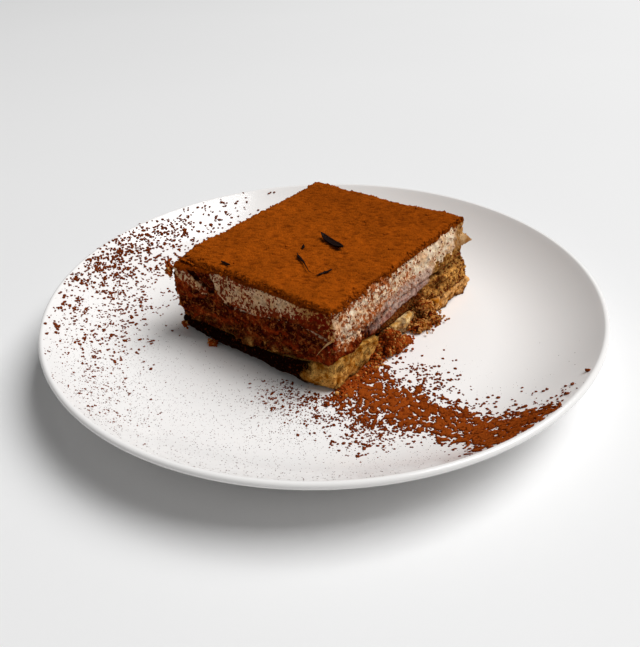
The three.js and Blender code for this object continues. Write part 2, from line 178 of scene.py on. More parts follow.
def turned_plate():
    shell = bmesh.new()
    corners = [shell.verts.new((radius, 0, height)) for radius, height in plate_profile()]
    edges = [shell.edges.new(pair) for pair in zip(corners, corners[1:])]
    bmesh.ops.spin(
        shell,
        geom=corners + edges,
        cent=(0, 0, 0),
        axis=(0, 0, 1),
        angle=2 * math.pi,
        steps=PLATE_STEPS,
        use_merge=True,
    )
    bmesh.ops.remove_doubles(shell, verts=shell.verts, dist=0.001 * MM)
    bmesh.ops.recalc_face_normals(shell, faces=shell.faces)
    return new_piece("coupe_plate", shell)


finish_piece(turned_plate(), glazed_porcelain(), "plate", "glazed_porcelain")


# ---- Lower ladyfingers --------------------------------------------------------------------------
# Three piped sponge biscuits side by side, dipped in coffee and laid in the tray before it was
# filled. They are cut square at their ends. Coffee has darkened the left one's flank, and its
# near-black there is also painted shade of the recess under the layer above. The cut ends keep the
# golden crumb and its open pores; the pores, torn holes and foot along the plate are painted darker
# as shade.

CRUMB_VOXEL = 0.64 * MM
STEEP = 0.75
PATTERN = ("Vector", "Scale", "Detail", "Roughness", "Distortion")
RANGE = ("Value", "From Min", "From Max", "To Min", "To Max")
# In mm: how far apart the pores are, and the lowest that crumb may come, just clear of the plate
WIDE_PORES = 1.5
FINE_PORES = 0.9
LOWEST = PLATE_FLOOR / MM + 0.05


def is_steep(face):
    return abs(face.normal.z) < STEEP


def soft_copy(node_name, piece_name, voxel, is_fine=None):
    """A copy of a CAD solid as one even mesh that can be roughened, finer where is_fine says."""
    shell = bmesh.new()
    shell.from_mesh(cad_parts[node_name].data)
    bmesh.ops.remove_doubles(shell, verts=shell.verts, dist=0.001 * MM)
    piece = new_piece(piece_name, shell)
    evener = piece.modifiers.new("even mesh", "REMESH")
    evener.mode = "VOXEL"
    evener.voxel_size = voxel
    evener.use_smooth_shade = True
    finished = piece.evaluated_get(bpy.context.evaluated_depsgraph_get())
    piece.data = bpy.data.meshes.new_from_object(finished)
    piece.modifiers.clear()
    piece.data.materials.clear()
    piece.data.name = piece_name
    if is_fine:
        shell = bmesh.new()
        shell.from_mesh(piece.data)
        fine = [edge for edge in shell.edges if any(is_fine(face) for face in edge.link_faces)]
        bmesh.ops.subdivide_edges(shell, edges=fine, cuts=1, use_grid_fill=True)
        shell.to_mesh(piece.data)
        shell.free()
    return piece


def ease(value, start, end):
    """0 at start, 1 at end, easing in and out; start may lie above end."""
    share = min(1.0, max(0.0, (value - start) / (end - start)))
    return share * share * (3 - 2 * share)


def waves(place, size, seed):
    """Smooth noise between about -1 and 1, with humps of that size."""
    return noise.noise(place / size + Vector((seed, seed * 1.7, seed * 0.6)))


def pore(place, spacing, seed):
    """0 on the crumb's skin, up to 1 in the middle of a pore."""
    nearest = noise.voronoi(place / spacing + Vector((seed, 0, seed)))[0][0]
    return max(0.0, 1 - nearest / 0.5)


def roughen(piece, marks, carve):
    """Moves each vertex by what carve says of its place and normal, and keeps carve's marks.

    carve works in mm. It gives back a move and a number for each mark, which the material reads by
    the mark's name.
    """
    mesh = piece.data
    count = len(mesh.vertices)
    values = np.zeros((len(marks), count), np.float32)
    moved = np.zeros((count, 3), np.float32)
    for i, vertex in enumerate(mesh.vertices):
        place = vertex.co / MM
        step, *values[:, i] = carve(place, vertex.normal)
        moved[i] = (place + step) * MM
    mesh.vertices.foreach_set("co", moved.ravel())
    for mark, row in zip(marks, values):
        mesh.attributes.new(mark, "FLOAT", "POINT").data.foreach_set("value", row)
    mesh.update()


def torn_crumb(place):
    """Dry crumb that broke instead of being cut: its relief in mm, and how deep in a hole a spot is."""
    upright = Vector((place.x, place.y, 0.6 * place.z))
    lumps = 1.4 * waves(place, 6.5, 31)
    lumps += 0.9 * waves(upright, 2.6, 33) + 0.5 * waves(upright, 1.3, 35)
    hole = ease(waves(place, 3.8, 37) + 0.5 * waves(place, 1.7, 39), -0.1, -0.5)
    return lumps - 1.4 * hole, hole


def carve_finger(seed, soaked_from, soaked_to, torn):
    """Crumb for one finger: coffee on its left flank from one y to the other, and how torn it is."""

    def carve(place, normal):
        wide = ease(pore(place, WIDE_PORES, seed), 0.25, 1)
        fine = ease(pore(place, FINE_PORES, seed + 5), 0.3, 1)
        lumpy = 0.5 * waves(place, 6, seed) + 0.45 * waves(place, 2.2, seed)
        relief, hole = torn_crumb(place)
        side = 1 - ease(abs(normal.z), 0.75, 0.95)
        ragged = torn * (0.45 + 0.55 * ease(-normal.y, 0.1, 0.7))
        depth = lumpy + ragged * relief - 0.45 * wide - 0.3 * fine
        step = normal * (depth * (0.25 + 0.75 * side))
        step.z = max(step.z, LOWEST - place.z)
        patch = waves(place, 5, seed + 9) + 0.5 * waves(place, 2, seed + 11)
        flank = ease(-normal.x, 0.0, 0.5)
        soak_and_shade = ease(place.y + 5 * patch, soaked_from, soaked_to) * flank
        # Painted shade: the foot along the plate and the torn holes are darkened like the soak, and the
        # top, under the layer above, is made a little darker too; the flank and the patches are coffee.
        foot = ease(place.z + 1.5 * patch, 9.5, 7)
        under = ease(place.z + 1.5 * patch, 12.5, 15.5)
        soak_and_shade = max(soak_and_shade, 0.6 * foot, 0.3 * under, 0.5 * ease(patch, 0.1, 0.5), 0.6 * torn * hole)
        # The hollow mark darkens pores and torn holes as painted shade.
        return step, min(1, wide + 0.5 * fine + 0.4 * torn * hole), soak_and_shade

    return carve


def soaked_sponge(name, dry, golden, soaked_and_shaded, dust="#662c0e"):
    """Ladyfinger crumb: matt and open-pored, golden where dry, dark brown where wet and where shade is
    painted.
    """
    material = new_material(name, Roughness=0.95, Specular_IOR_Level=0.0)
    place = add_node(material, "TexCoord", {})["Object"]
    hollow, soak_and_shade = [
        add_node(material, "Attribute", {}, attribute_name=mark)["Fac"] for mark in ("hollow", "soak_and_shade")
    ]
    # Each pattern's size in mm, detail, roughness and distortion
    patterns = ((0.6, 3, 0.65, 0), (4, 3, 0.5, 0), (1.5, 4, 0.7, 0.5), (1.1, 3, 0.7, 0))
    grain, cloudy, fibre, speck = [
        add_node(material, "TexNoise", dict(zip(PATTERN, (place, 1 / (size * MM), *rest))))["Fac"]
        for size, *rest in patterns
    ]
    uneven = add_node(material, "Math", {0: cloudy, 1: 1.7, 2: fibre}, operation="MULTIPLY_ADD")[0]
    blend = add_node(material, "Math", {0: soak_and_shade, 1: grain}, operation="ADD")[0]
    # Colours laid over the golden crumb: what each follows, from where to where, and how strongly
    colour = golden
    for cover, *strength in (
        (dry, uneven, 1.1, 1.54, 0, 1),
        (soaked_and_shaded, blend, 0.6, 1.2, 0, 1),
        # Painted shade: pores and holes take the soaked colour.
        (soaked_and_shaded, hollow, 0.2, 1.2, 0, 0.6),
        (dust, speck, 0.6, 0.64, 0, 0.8),
    ):
        share = add_node(material, "MapRange", dict(zip(RANGE, strength)))["Result"]
        colour = add_node(material, "Mix", {0: share, 6: colour, 7: cover}, data_type="RGBA")[2]
    normal = add_node(material, "Bump", {"Height": grain, "Strength": 0.8, "Distance": 0.5 * MM})["Normal"]
    fill_sockets(material, {"Base Color": colour, "Normal": normal})
    return material


# The crumb's dry, golden and soaked colours (the soaked one also serves as painted shade), the y in
# mm where coffee begins and is full along the left flank, and how torn it is
LOWER_FINGERS = [
    ("#f4b860", "#a8620e", "#160703", (-31, -18), 0.3),
    ("#ffdea0", "#e2a856", "#5a240a", (50, 60), 0.5),
    ("#fcc078", "#b8701e", "#521e05", (50, 60), 1.0),
]
for number, (*colours, flank, torn) in enumerate(LOWER_FINGERS, start=1):
    node = f"ladyfinger_lower_{number}"
    sponge = soft_copy(node, f"soaked_finger_{number}", CRUMB_VOXEL, is_steep)
    roughen(sponge, ("hollow", "soak_and_shade"), carve_finger(3 * number, *flank, torn))
    crumb = soaked_sponge(f"ladyfinger crumb {number}", *colours)
    finish_piece(sponge, crumb, node, "soaked_ladyfinger")


# ---- Mascarpone and upper sponge ----------------------------------------------------------------
# Whipped cream and egg, spread thick over a second layer of ladyfingers that its weight has pressed
# into one band of wet crumb. The knife dragged cocoa, cream and crumb into each other, so the line
# between them is ragged. At the right of the long face the crumb has broken away dry and golden.

# All sizes that carve the cut faces are in mm
SLICE_LOW = Vector((-38.5, -34.8))
SLICE_HIGH = Vector((54.5, 42.5, 43.1))
# Where the cut faces turn from crumb to cream: x or y along the face, and the height there
NEAR_CREAM_LINE = np.array(
    [(-38, 24), (-31, 22.5), (-20, 22.5), (-8, 23), (0, 24), (28, 26.5), (33, 28), (42, 30), (54, 29)]
).T
LEFT_CREAM_LINE = np.array(
    [
        (-36, 34), (-26, 34.5), (-18, 34.5), (-13, 33.5), (-8, 32),
        (-3, 29.5), (5, 29.5), (12, 29), (18, 28), (28, 31),
    ]
).T
HIDDEN_CREAM_LINE = 27.5
# Along the near face: x, and the share of the cream there that is specked with cocoa
NEAR_SPECKS = np.array(
    [(-38, 0.6), (-31, 0.46), (-20, 0.44), (-5, 0.5), (8, 0.42), (20, 0.24), (32, 0.05), (54, 0.0)]
).T
# Between these x the near face turns from cut to broken
BROKEN_FROM = 22
BROKEN_TO = 33
# On the slumped back left corner, y and z of both ends of a streak of bare cream and of a crack
FLAP_STREAK = (Vector((40.5, 37.2)), Vector((29, 31)))
FLAP_CRACK = (Vector((40, 42)), Vector((25, 31)))
# Along the near face, where cream was wiped thin and is greyer, partly as painted shade: x, and the
# lower and upper edge there
WIPED_BAND = np.array(
    [(-20, 21, 22), (-12, 20, 26), (0, 20, 30), (10, 21.5, 31.5), (20, 21.5, 31), (30, 23, 29.5)]
).T
# Under the cream at the broken right end, the crumb has come out and left a hollow, painted darker
# as shade
VOID_HEIGHT = 25
# The left face's foot is palest around this y, where crumb tore loose from the finger below
LIP_MIDDLE = -6
# What carving leaves at each vertex of the cut faces for their material
CUT_MARKS = ("hollow", "creamy", "specked", "dusty", "tan_and_shade", "wiped_and_shaded", "dry")


def facing(normal):
    """How much a spot looks towards the near, left, right and far side."""
    return [ease(share, 0.3, 0.8) for share in (-normal.y, -normal.x, normal.x, normal.y)]


def from_line(place, ends):
    """Distance, seen from the left, to a straight line between two ends."""
    start, end = ends
    spot = Vector((place.y, place.z)) - start
    along = end - start
    share = min(1.0, max(0.0, spot.dot(along) / along.length_squared))
    return (spot - along * share).length


def cut_marks(place, normal):
    """What the knife left on the slice's sides.

    Gives the relief in mm, how deep in a crack and how far in the broken corner a spot is, and the
    shares of cream, cocoa specks, cocoa dust, tan, which on the left face is painted shade, and greyish
    wiped cream, whose grey is partly painted shade.
    """
    near, left, right, far = facing(normal)
    sides = near + left + right + far + 1e-6
    near_line = float(np.interp(place.x, *NEAR_CREAM_LINE))
    left_line = float(np.interp(place.y, *LEFT_CREAM_LINE))
    line = (near * near_line + left * left_line + (right + far + 1e-6) * HIDDEN_CREAM_LINE) / sides
    ragged = 2.4 * waves(place, 3.4, 51) + 1.8 * waves(place, 1.5, 53)
    creamy = ease(place.z + ragged, line - 0.9, line + 0.9)
    dragged = Vector((place.x + 0.35 * place.z, place.y - 0.2 * place.z, place.z * 0.62))
    relief = 0.6 * waves(dragged, 1.7, 55) + 0.5 * waves(dragged, 0.9, 57)
    near_specks = float(np.interp(place.x, *NEAR_SPECKS))
    specked = (near * near_specks + 0.42 * left + 0.35 * (right + far)) / sides
    at_seam = ease(place.z, line + 5, line)
    specked += 0.22 * at_seam * (1 - 0.6 * ease(place.x, 4, 20) * near)
    at_top = ease(place.z, SLICE_HIGH.z - 6, SLICE_HIGH.z - 2)
    specked += 0.3 * at_top * near * ease(place.x, 14, 4) * ease(place.x, -26, -12)
    specked += 0.35 * waves(place, 6, 59) + 0.2 * waves(place, 2.6, 60)
    slanted = place.y - 0.6 * (place.z - 30)
    flap = left * ease(slanted + 2 * waves(place, 4, 61), 19, 21)
    streak = ease(from_line(place, FLAP_STREAK) + 0.9 * waves(place, 1.8, 63), 2.3, 1.5)
    crack = left * ease(from_line(place, FLAP_CRACK) + 0.5 * waves(place, 2, 65), 1.3, 0.5)
    creamy *= 1 - flap * (1 - streak)
    creamy = max(creamy, flap * streak)
    below_top = SLICE_HIGH.z - place.z
    fringe = 1.3 + 0.4 * left + 3.2 * left * ease(place.y, 14, 36)
    fringe += 0.7 * near * ease(place.x, 14, 0)
    fringe += 1.1 * waves(place, 2.4, 67) + 0.9 * waves(place, 1.1, 69)
    dusty = max(ease(below_top, fringe + 0.4, fringe - 0.4), 0.3 * crack)
    ledge = ease(normal.z, 0.25, 0.5) * ease(place.z, 30, 34)
    dusty = max(dusty, ledge * (1 - near) * (1 - right))
    worn = place.x + 2 * waves(place, 3, 71)
    # Tan is real at the near face's ends and on the right; over the whole left face it is painted shade,
    # browner and darker because that face lies in shade.
    tan_and_shade = near * max(ease(worn, 47, 52), 0.7 * ease(worn, -34, -38)) + 0.6 * right
    tan_and_shade += left * (0.6 + 0.4 * ease(place.y, -16, -24))
    low, high = [float(np.interp(place.x, WIPED_BAND[0], row)) for row in WIPED_BAND[1:]]
    feathered = place.z + 1.4 * waves(dragged, 3, 72) + 0.7 * waves(place, 1.3, 74)
    wiped_and_shaded = near * ease(feathered, low - 1.5, low + 1) * ease(feathered, high + 2, high - 1.5)
    wiped_and_shaded *= ease(place.x, -18, -8) * ease(place.x, 34, 28)
    broken = ease(place.x + 3 * waves(place, 5, 79), BROKEN_FROM, BROKEN_TO) * max(near, right)
    return relief, crack, broken, creamy, min(1, max(0, specked)), dusty, min(1, tan_and_shade), wiped_and_shaded


def carve_cream(place, normal):
    """Knife drag and small pits on the cut faces, with a fringe of cocoa under the top; pits and cracks get
    painted shade.
    """
    near = facing(normal)[0]
    relief, crack, broken, *marks = cut_marks(place, normal)
    side = 1 - ease(abs(normal.z), 0.7, 0.92)
    slump = 0.55 * waves(place, 8, 73) + 0.5 * waves(place, 3, 75)
    pit = ease(pore(place, 2.9, 77), 0.35, 0.9)
    step = normal * ((relief + slump - 0.5 * pit * near - 1.5 * crack) * side)
    if normal.z < -0.6:
        step.z -= 0.4
    if normal.z > 0.6:
        step.z += 0.35
    return step, max(pit * 0.4, crack, 0.5 * broken), *marks, broken


def carve_upper(place, normal):
    """Torn crumb on the cut faces: coarse where it has broken away at the right of the near face."""
    near, left, _, far = facing(normal)
    relief, crack, broken, *marks = cut_marks(place, normal)
    side = 1 - ease(abs(normal.z), 0.7, 0.92)
    wide = ease(pore(place, 3.0, 81), 0.15, 1)
    fine = ease(pore(place, 1.3, 83), 0.2, 1)
    lumpy = 0.8 * waves(place, 5, 87) + 0.7 * waves(place, 2.1, 89) + 0.5 * relief
    crags, hole = torn_crumb(place)
    void = broken * ease(abs(place.z - VOID_HEIGHT), 3.2, 1.2)
    ledge = broken * near * ease(place.z, 19, 14) * ease(place.x, 40, 34)
    low = ease(place.z, 21, 14.5)
    lip = low * (2.4 * waves(place, 6, 95) + 1.4 * waves(place, 2.5, 96)) * left
    flap = left * ease(place.y, 20, 34)
    slumped = (2.0 * waves(place, 4, 97) + 1.2 * waves(place, 2, 98)) * flap
    ragged = broken * (0.5 + 0.5 * near)
    depth = lumpy + lip + slumped + ragged * crags + 3.0 * ledge - 1.6 * void
    depth -= (0.7 - 0.3 * broken) * wide + 0.35 * fine + 1.5 * crack
    step = normal * (depth * side)
    if normal.z > 0.7:
        step.z += 0.35
    if normal.z < -0.7:
        step.z -= 0.45
    # Painted shade: pores, holes, the void and cracks are coloured darker.
    hollow = min(1, (0.8 - 0.4 * broken) * wide + 0.5 * fine + broken * 0.4 * hole + 0.5 * void + crack)
    golden_lip = 0.8 * left * low * ease(waves(place, 4.5, 99), 0.0, 0.4)
    golden_lip *= 0.3 + 0.7 * ease(abs(place.y - LIP_MIDDLE), 14, 7)
    dry_corner = 0.25 * near * ease(place.x, -12, 0)
    return step, hollow, *marks, max(broken, 0.35 * far, golden_lip, dry_corner)


def cut_face(name, **shader_values):
    """A knife-cut side: ivory cream and red-brown wet crumb, each smeared with the other and cocoa."""
    material = new_material(name, Specular_IOR_Level=0.0, **shader_values)
    place = add_node(material, "TexCoord", {})["Object"]
    height = add_node(material, "SeparateXYZ", {"Vector": place})["Z"]
    share = {mark: add_node(material, "Attribute", {}, attribute_name=mark)["Fac"] for mark in CUT_MARKS}
    drawn, stretched = [
        add_node(material, "Mapping", {"Vector": place, "Rotation": turn, "Scale": scale})[0]
        for turn, scale in (((0.3, -0.5, 0), (1, 1, 0.75)), ((0, 0, 0), (0.5, 0.5, 1)))
    ]
    # Each pattern: what it follows, its size in mm, detail, roughness and distortion
    patterns = (
        (place, 0.6, 3, 0.65, 0),
        (place, 1.7, 4, 0.75, 0.6),
        (place, 5, 3, 0.5, 0),
        (drawn, 1.35, 3, 0.65, 0.4),
        (stretched, 4.5, 4, 0.6, 0.5),
    )
    fine, fibre, cloudy, fleck, patch = [
        add_node(material, "TexNoise", dict(zip(PATTERN, (follows, 1 / (size * MM), *rest))))["Fac"]
        for follows, size, *rest in patterns
    ]
    # Each share: what it follows, from where to where, and what it goes from and to
    for mark, *strength in (
        ("tone", cloudy, 0.36, 0.64, 0, 1),
        ("limit", share["specked"], 0, 1, 0.34, 0.65),
        ("stain_and_shade", share["tan_and_shade"], 0, 0.7, 0, 1),
        ("red", patch, 0.4, 0.56, 0, 1),
        ("pale", fibre, 0.53, 0.64, 0, 0.85),
        # Darker low on the upper crumb, over the dark recess: coffee and painted shade.
        ("low_soak_and_shade", height, 19 * MM, 14 * MM, 0, 0.75),
        ("golden", fibre, 0.36, 0.66, 0, 1),
        ("deep", share["hollow"], 0.2, 1, 0, 0.9),
        ("mottled", fleck, 0.5, 0.62, 0, 0.6),
        ("nudge", fine, 0.2, 0.8, -0.3, 0.3),
    ):
        share[mark] = add_node(material, "MapRange", dict(zip(RANGE, strength)))["Result"]
    under = add_node(material, "Math", {0: share["limit"], 1: fleck}, operation="SUBTRACT")[0]
    flecked = add_node(material, "MapRange", dict(zip(RANGE, (under, -0.035, 0.035))))["Result"]
    veil = add_node(material, "MapRange", {"Value": flecked, "To Min": 0.85, "To Max": 0.35})["Result"]
    wiped_and_shaded = add_node(material, "Math", {0: share["wiped_and_shaded"], 1: veil}, operation="MULTIPLY")[0]
    for mark in ("creamy", "dusty"):
        nudged = add_node(material, "Math", {0: share[mark], 1: share["nudge"]}, operation="ADD")[0]
        share[mark] = add_node(material, "MapRange", dict(zip(RANGE, (nudged, 0.3, 0.7))))["Result"]
    # Colours laid over one another: how much of the upper one shows, then the lower and the upper
    layers = {}
    for layer, cover, below, above in (
        ("ivory", share["tone"], "#ffeacc", "#f0c498"),
        # Painted shade: the tan share browns the cream and darkens its specks over the whole left face.
        ("cream", share["tan_and_shade"], "ivory", "#b8834a"),
        ("rust", fibre, "#7c2a0c", "#da8448"),
        ("stain and shade", share["stain_and_shade"], "rust", "#701b07"),
        ("specked cream", flecked, "cream", "stain and shade"),
        ("wet", share["red"], "#8a2e0c", "#380904"),
        ("fibrous", share["pale"], "wet", "#b86c34"),
        ("soaked_and_shaded", share["low_soak_and_shade"], "fibrous", "#200a03"),
        ("gold", share["golden"], "#96500e", "#fabc66"),
        ("crumb", share["dry"], "soaked_and_shaded", "gold"),
        ("mottled crumb", share["mottled"], "crumb", "#3a1004"),
        # Painted shade in pits, pores, cracks and the void.
        ("pit-shaded crumb", share["deep"], "mottled crumb", "#240a03"),
        # Painted shade in part: the wiped band's greyer mauve.
        ("mauve and shade", fibre, "#9a6c58", "#ecd0c2"),
        ("crumb and cream", share["creamy"], "pit-shaded crumb", "specked cream"),
        ("smeared", wiped_and_shaded, "crumb and cream", "mauve and shade"),
        ("dusted", share["dusty"], "smeared", "#7c3405"),
    ):
        below, above = [layers.get(colour, colour) for colour in (below, above)]
        layers[layer] = add_node(material, "Mix", {0: cover, 6: below, 7: above}, data_type="RGBA")[2]
    rough = add_node(material, "Math", {0: fine, 1: fibre}, operation="ADD")[0]
    normal = add_node(material, "Bump", {"Height": rough, "Strength": 0.9, "Distance": 0.5 * MM})["Normal"]
    fill_sockets(material, {"Base Color": layers["dusted"], "Normal": normal})
    return material


cream = soft_copy("mascarpone", "mascarpone_layer", CRUMB_VOXEL, is_steep)
roughen(cream, CUT_MARKS, carve_cream)
whipped = cut_face(
    "mascarpone cream",
    Roughness=0.6,
    Subsurface_Weight=0.1,
    Subsurface_Radius=(0.9, 0.55, 0.3),
    Subsurface_Scale=1.2 * MM,
)
finish_piece(cream, whipped, "mascarpone", "mascarpone_cream")

upper = soft_copy("sponge_upper", "upper_sponge", CRUMB_VOXEL, is_steep)
roughen(upper, CUT_MARKS, carve_upper)
finish_piece(upper, cut_face("coffee-soaked sponge", Roughness=0.85), "sponge_upper", "coffee_sponge")


# ---- Smeared cream ------------------------------------------------------------------------------
# A thin skin of cream and coffee that the knife wiped across the near cut face as it went down.
# It is greyer than the cream above, partly as painted shade, thins out towards its edges and melts
# into both layers.

SMEAR_VOXEL = 0.3 * MM


def carve_smear(place, normal):
    """The same marks as the face it clings to, with streaks and a ragged, sunken edge."""
    relief, _, broken, *marks = cut_marks(place, Vector((0, -1, 0)))
    along = Vector((place.x * 0.4, place.y, place.z))
    streaks = 0.4 * waves(along, 1.3, 101) + 0.3 * waves(place, 0.9, 103)
    step = Vector((0, 0, 0))
    if abs(normal.y) < 0.7:
        step = normal * (1.3 * waves(place, 2.6, 105) + 0.8 * waves(place, 1.2, 107))
    front = ease(-normal.y, 0.2, 0.7)
    step.y -= (0.45 * relief + streaks) * front
    step.y += 0.5 * ease(-normal.y, 0.9, 0.3)
    return step, 0.2, *marks, broken


smear = soft_copy("mascarpone_smear", "smear_on_near_face", SMEAR_VOXEL)
roughen(smear, CUT_MARKS, carve_smear)
smeared = cut_face("knife-smeared cream", Roughness=0.55)
finish_piece(smear, smeared, "mascarpone_smear", "smeared_cream")


# ---- Cocoa top ----------------------------------------------------------------------------------
# Cocoa sifted over the chilled cream. It has drawn damp from below, so it lies as one dark
# orange-brown skin of fine grains, wrinkled all over, with a ragged edge along the cuts.

COCOA_VOXEL = 0.68 * MM
COCOA_GRAIN = 0.65 * MM
COCOA_CLOUD = 14 * MM
# The knife pushed the skin into small folds that run this way
WRINKLE_ALONG = Vector((0.63, -0.78))
WRINKLE_ACROSS = Vector((0.78, 0.63))


def looks_up(face):
    return face.normal.z > 0.2


def carve_cocoa(place, normal):
    """Fine wrinkles all over the top, mostly one way, and a torn fringe at the sides."""
    swept = Vector((WRINKLE_ALONG.dot(place.xy) * 0.3, WRINKLE_ACROSS.dot(place.xy), place.z))
    wrinkle = waves(swept, 1.25, 111) + 0.8 * waves(swept, 0.75, 113)
    ridge = 1 - ease(abs(waves(swept, 3.0, 114)), 0.0, 0.14)
    broad = 0.25 * waves(place, 9, 115)
    side = 1 - ease(abs(normal.z), 0.5, 0.85)
    torn = 0.9 * waves(place, 1.5, 117) + 0.7 * waves(place, 4, 119) - 0.2
    step = normal * ((0.6 * wrinkle + 0.25 * ridge + broad) * ease(normal.z, 0.2, 0.6))
    step += normal * (torn * side)
    hanging = 2.0 * waves(place, 1.6, 121) + 0.7 * waves(place, 4, 122)
    hanging += 0.4 - 0.9 * ease(place.x, 2, 16) * ease(-normal.y, 0.3, 0.8)
    step.z -= side * min(1.8, max(-1.3, hanging)) * ease(SLICE_HIGH.z - place.z, 0.2, 1.1)
    step += normal * (0.35 * max(0, hanging) * side)
    # Painted shade: wrinkle valleys and the skin's sides are coloured darker; damp darkens the right.
    bare = ease(normal.z, 0.2, 0.6) * 0.55 * ease(wrinkle, 0.2, -1.0) * (1 - ridge)
    damp = 0.2 * ease(place.x + 8 * waves(place, 14, 127), 14, 46)
    return step, min(1, bare + 0.5 * side + damp)


def cocoa_powder(name, light, dark, sunken):
    """Damp cocoa powder: no gloss at all, fine grains, and darker gaps and hollows where the hollow mark
    is.
    """
    material = new_material(name, Roughness=1.0, Specular_IOR_Level=0.0)
    place = add_node(material, "TexCoord", {})["Object"]
    hollow = add_node(material, "Attribute", {}, attribute_name="hollow")["Fac"]
    grain, cloudy = [
        add_node(
            material, "TexNoise", {"Vector": place, "Scale": 1 / size, "Detail": 3, "Roughness": rough}
        )["Fac"]
        for size, rough in ((COCOA_GRAIN, 0.7), (COCOA_CLOUD, 0.5))
    ]
    mixed = add_node(material, "Math", {0: cloudy, 1: 0.5, 2: grain}, operation="MULTIPLY_ADD")[0]
    tone = add_node(material, "MapRange", {"Value": mixed, "From Min": 0.55, "From Max": 0.95})["Result"]
    powder = add_node(material, "Mix", {0: tone, 6: dark, 7: light}, data_type="RGBA")[2]
    # Mostly painted shade: the hollow mark darkens pores, wrinkle valleys and steep sides; on the drift it
    # darkens the clots' thin edges.
    colour = add_node(material, "Mix", {0: hollow, 6: powder, 7: sunken}, data_type="RGBA")[2]
    normal = add_node(material, "Bump", {"Height": grain, "Strength": 1.0, "Distance": 0.6 * MM})["Normal"]
    fill_sockets(material, {"Base Color": colour, "Normal": normal})
    return material


cocoa = soft_copy("cocoa_top", "cocoa_skin", COCOA_VOXEL, looks_up)
roughen(cocoa, ("hollow",), carve_cocoa)
damp_cocoa = cocoa_powder("damp cocoa powder", "#b6570f", "#8a410b", "#4a1704")
finish_piece(cocoa, damp_cocoa, "cocoa_top", "cocoa_powder")


# ---- Chocolate shavings -------------------------------------------------------------------------
# Five curls of dark chocolate, pared from a block with a knife and dropped on the cocoa: one
# wide leaf and four thin ones. Their cut side has a faint sheen.

SHAVING_VOXEL = 0.22 * MM
CHOCOLATE_RIB = 1.0 * MM
# In mm, the wide leaf's middle, the way it points, half its length, and how it rolled up
LEAF_MIDDLE = Vector((3.3, -3.3))
LEAF_ALONG = Vector((-0.277, -0.961))
LEAF_HALF = 7.6
LEAF_SHIFT = Vector((-0.8, -0.65))
LEAF_NARROWED = 0.36
LEAF_CURL = 1.1


def carve_shaving(place, normal):
    ribs = 0.12 * waves(Vector((place.x, place.y * 0.4, place.z)), 1.2, 131)
    chipped = 0.4 * waves(place, 2.4, 133) * ease(abs(normal.z), 0.9, 0.5)
    return (normal * (ribs + chipped),)


def carve_leaf(place, normal):
    """The wide leaf also rolled up as it was pared, so it is narrower and its ends stand clear."""
    spot = place.xy - LEAF_MIDDLE
    reach = spot.dot(LEAF_ALONG)
    moved = LEAF_SHIFT - LEAF_NARROWED * (spot - LEAF_ALONG * reach)
    lifted = LEAF_CURL * (reach / LEAF_HALF) ** 2 * (1 if reach < 0 else 0.4)
    return (carve_shaving(place, normal)[0] + Vector((*moved, lifted)),)


def dark_chocolate():
    """Dark chocolate: almost black, waxy, with a soft sheen where the knife passed."""
    material = new_material("dark chocolate", Specular_IOR_Level=0.07)
    place = add_node(material, "TexCoord", {})["Object"]
    rib = add_node(material, "TexNoise", {"Vector": place, "Scale": 1 / CHOCOLATE_RIB, "Detail": 3})["Fac"]
    colour = add_node(material, "Mix", {0: rib, 6: "#090201", 7: "#1e0904"}, data_type="RGBA")[2]
    roughness = add_node(material, "MapRange", {"Value": rib, "To Min": 0.3, "To Max": 0.6})["Result"]
    normal = add_node(material, "Bump", {"Height": rib, "Strength": 0.6, "Distance": 0.4 * MM})["Normal"]
    fill_sockets(material, {"Base Color": colour, "Roughness": roughness, "Normal": normal})
    return material


chocolate = dark_chocolate()
for number in range(1, 6):
    node = f"chocolate_shaving_{number}"
    curl = soft_copy(node, f"shaved_curl_{number}", SHAVING_VOXEL)
    roughen(curl, (), carve_leaf if number == 1 else carve_shaving)
    finish_piece(curl, chocolate, node, "dark_chocolate")


# ---- Fallen crumbs ------------------------------------------------------------------------------
# Two heaps of damp sponge crumbs at the foot of the near face, torn off by the knife and rolled
# in the cocoa that fell with them.

HEAP_VOXEL = 0.3 * MM


def carve_heap(place, normal):
    wide = ease(pore(place, 1.7, 141), 0.1, 1)
    lumpy = 0.5 * waves(place, 2.6, 143) + 0.5 * waves(place, 1.1, 145)
    step = normal * (lumpy + 0.35 - 0.4 * wide)
    step.z = max(step.z, LOWEST - place.z)
    # Painted shade: pores are coloured darker.
    return step, 0.8 * wide, ease(waves(place, 3.5, 147), -0.1, 0.3)


crumb_powder = cocoa_powder("cocoa-rolled crumb", "#b8561f", "#7c2f0e", "#2c0a02")
dry_crumb = soaked_sponge("fallen dry crumb", "#e0a45c", "#94500f", "#42160a")
heaps = []
for side, material in (("middle", crumb_powder), ("right", dry_crumb)):
    heap = soft_copy(f"crumb_heap_{side}", f"fallen_crumbs_{side}", HEAP_VOXEL)
    roughen(heap, ("hollow", "soak_and_shade"), carve_heap)
    finish_piece(heap, material, f"crumb_heap_{side}", "cocoa_crumb")
    heaps.append(heap)


# ---- Loose grains -------------------------------------------------------------------------------
# Single grains of crumb and cocoa: they cover the heaps, fill the gaps between the ladyfingers'
# ends and cling to the cut faces. Each kind is one mesh of many small uneven lumps.

GRAIN_SEED = 29
# Past this x most of the fallen crumb is dry and golden
DRY_FROM = 12 * MM
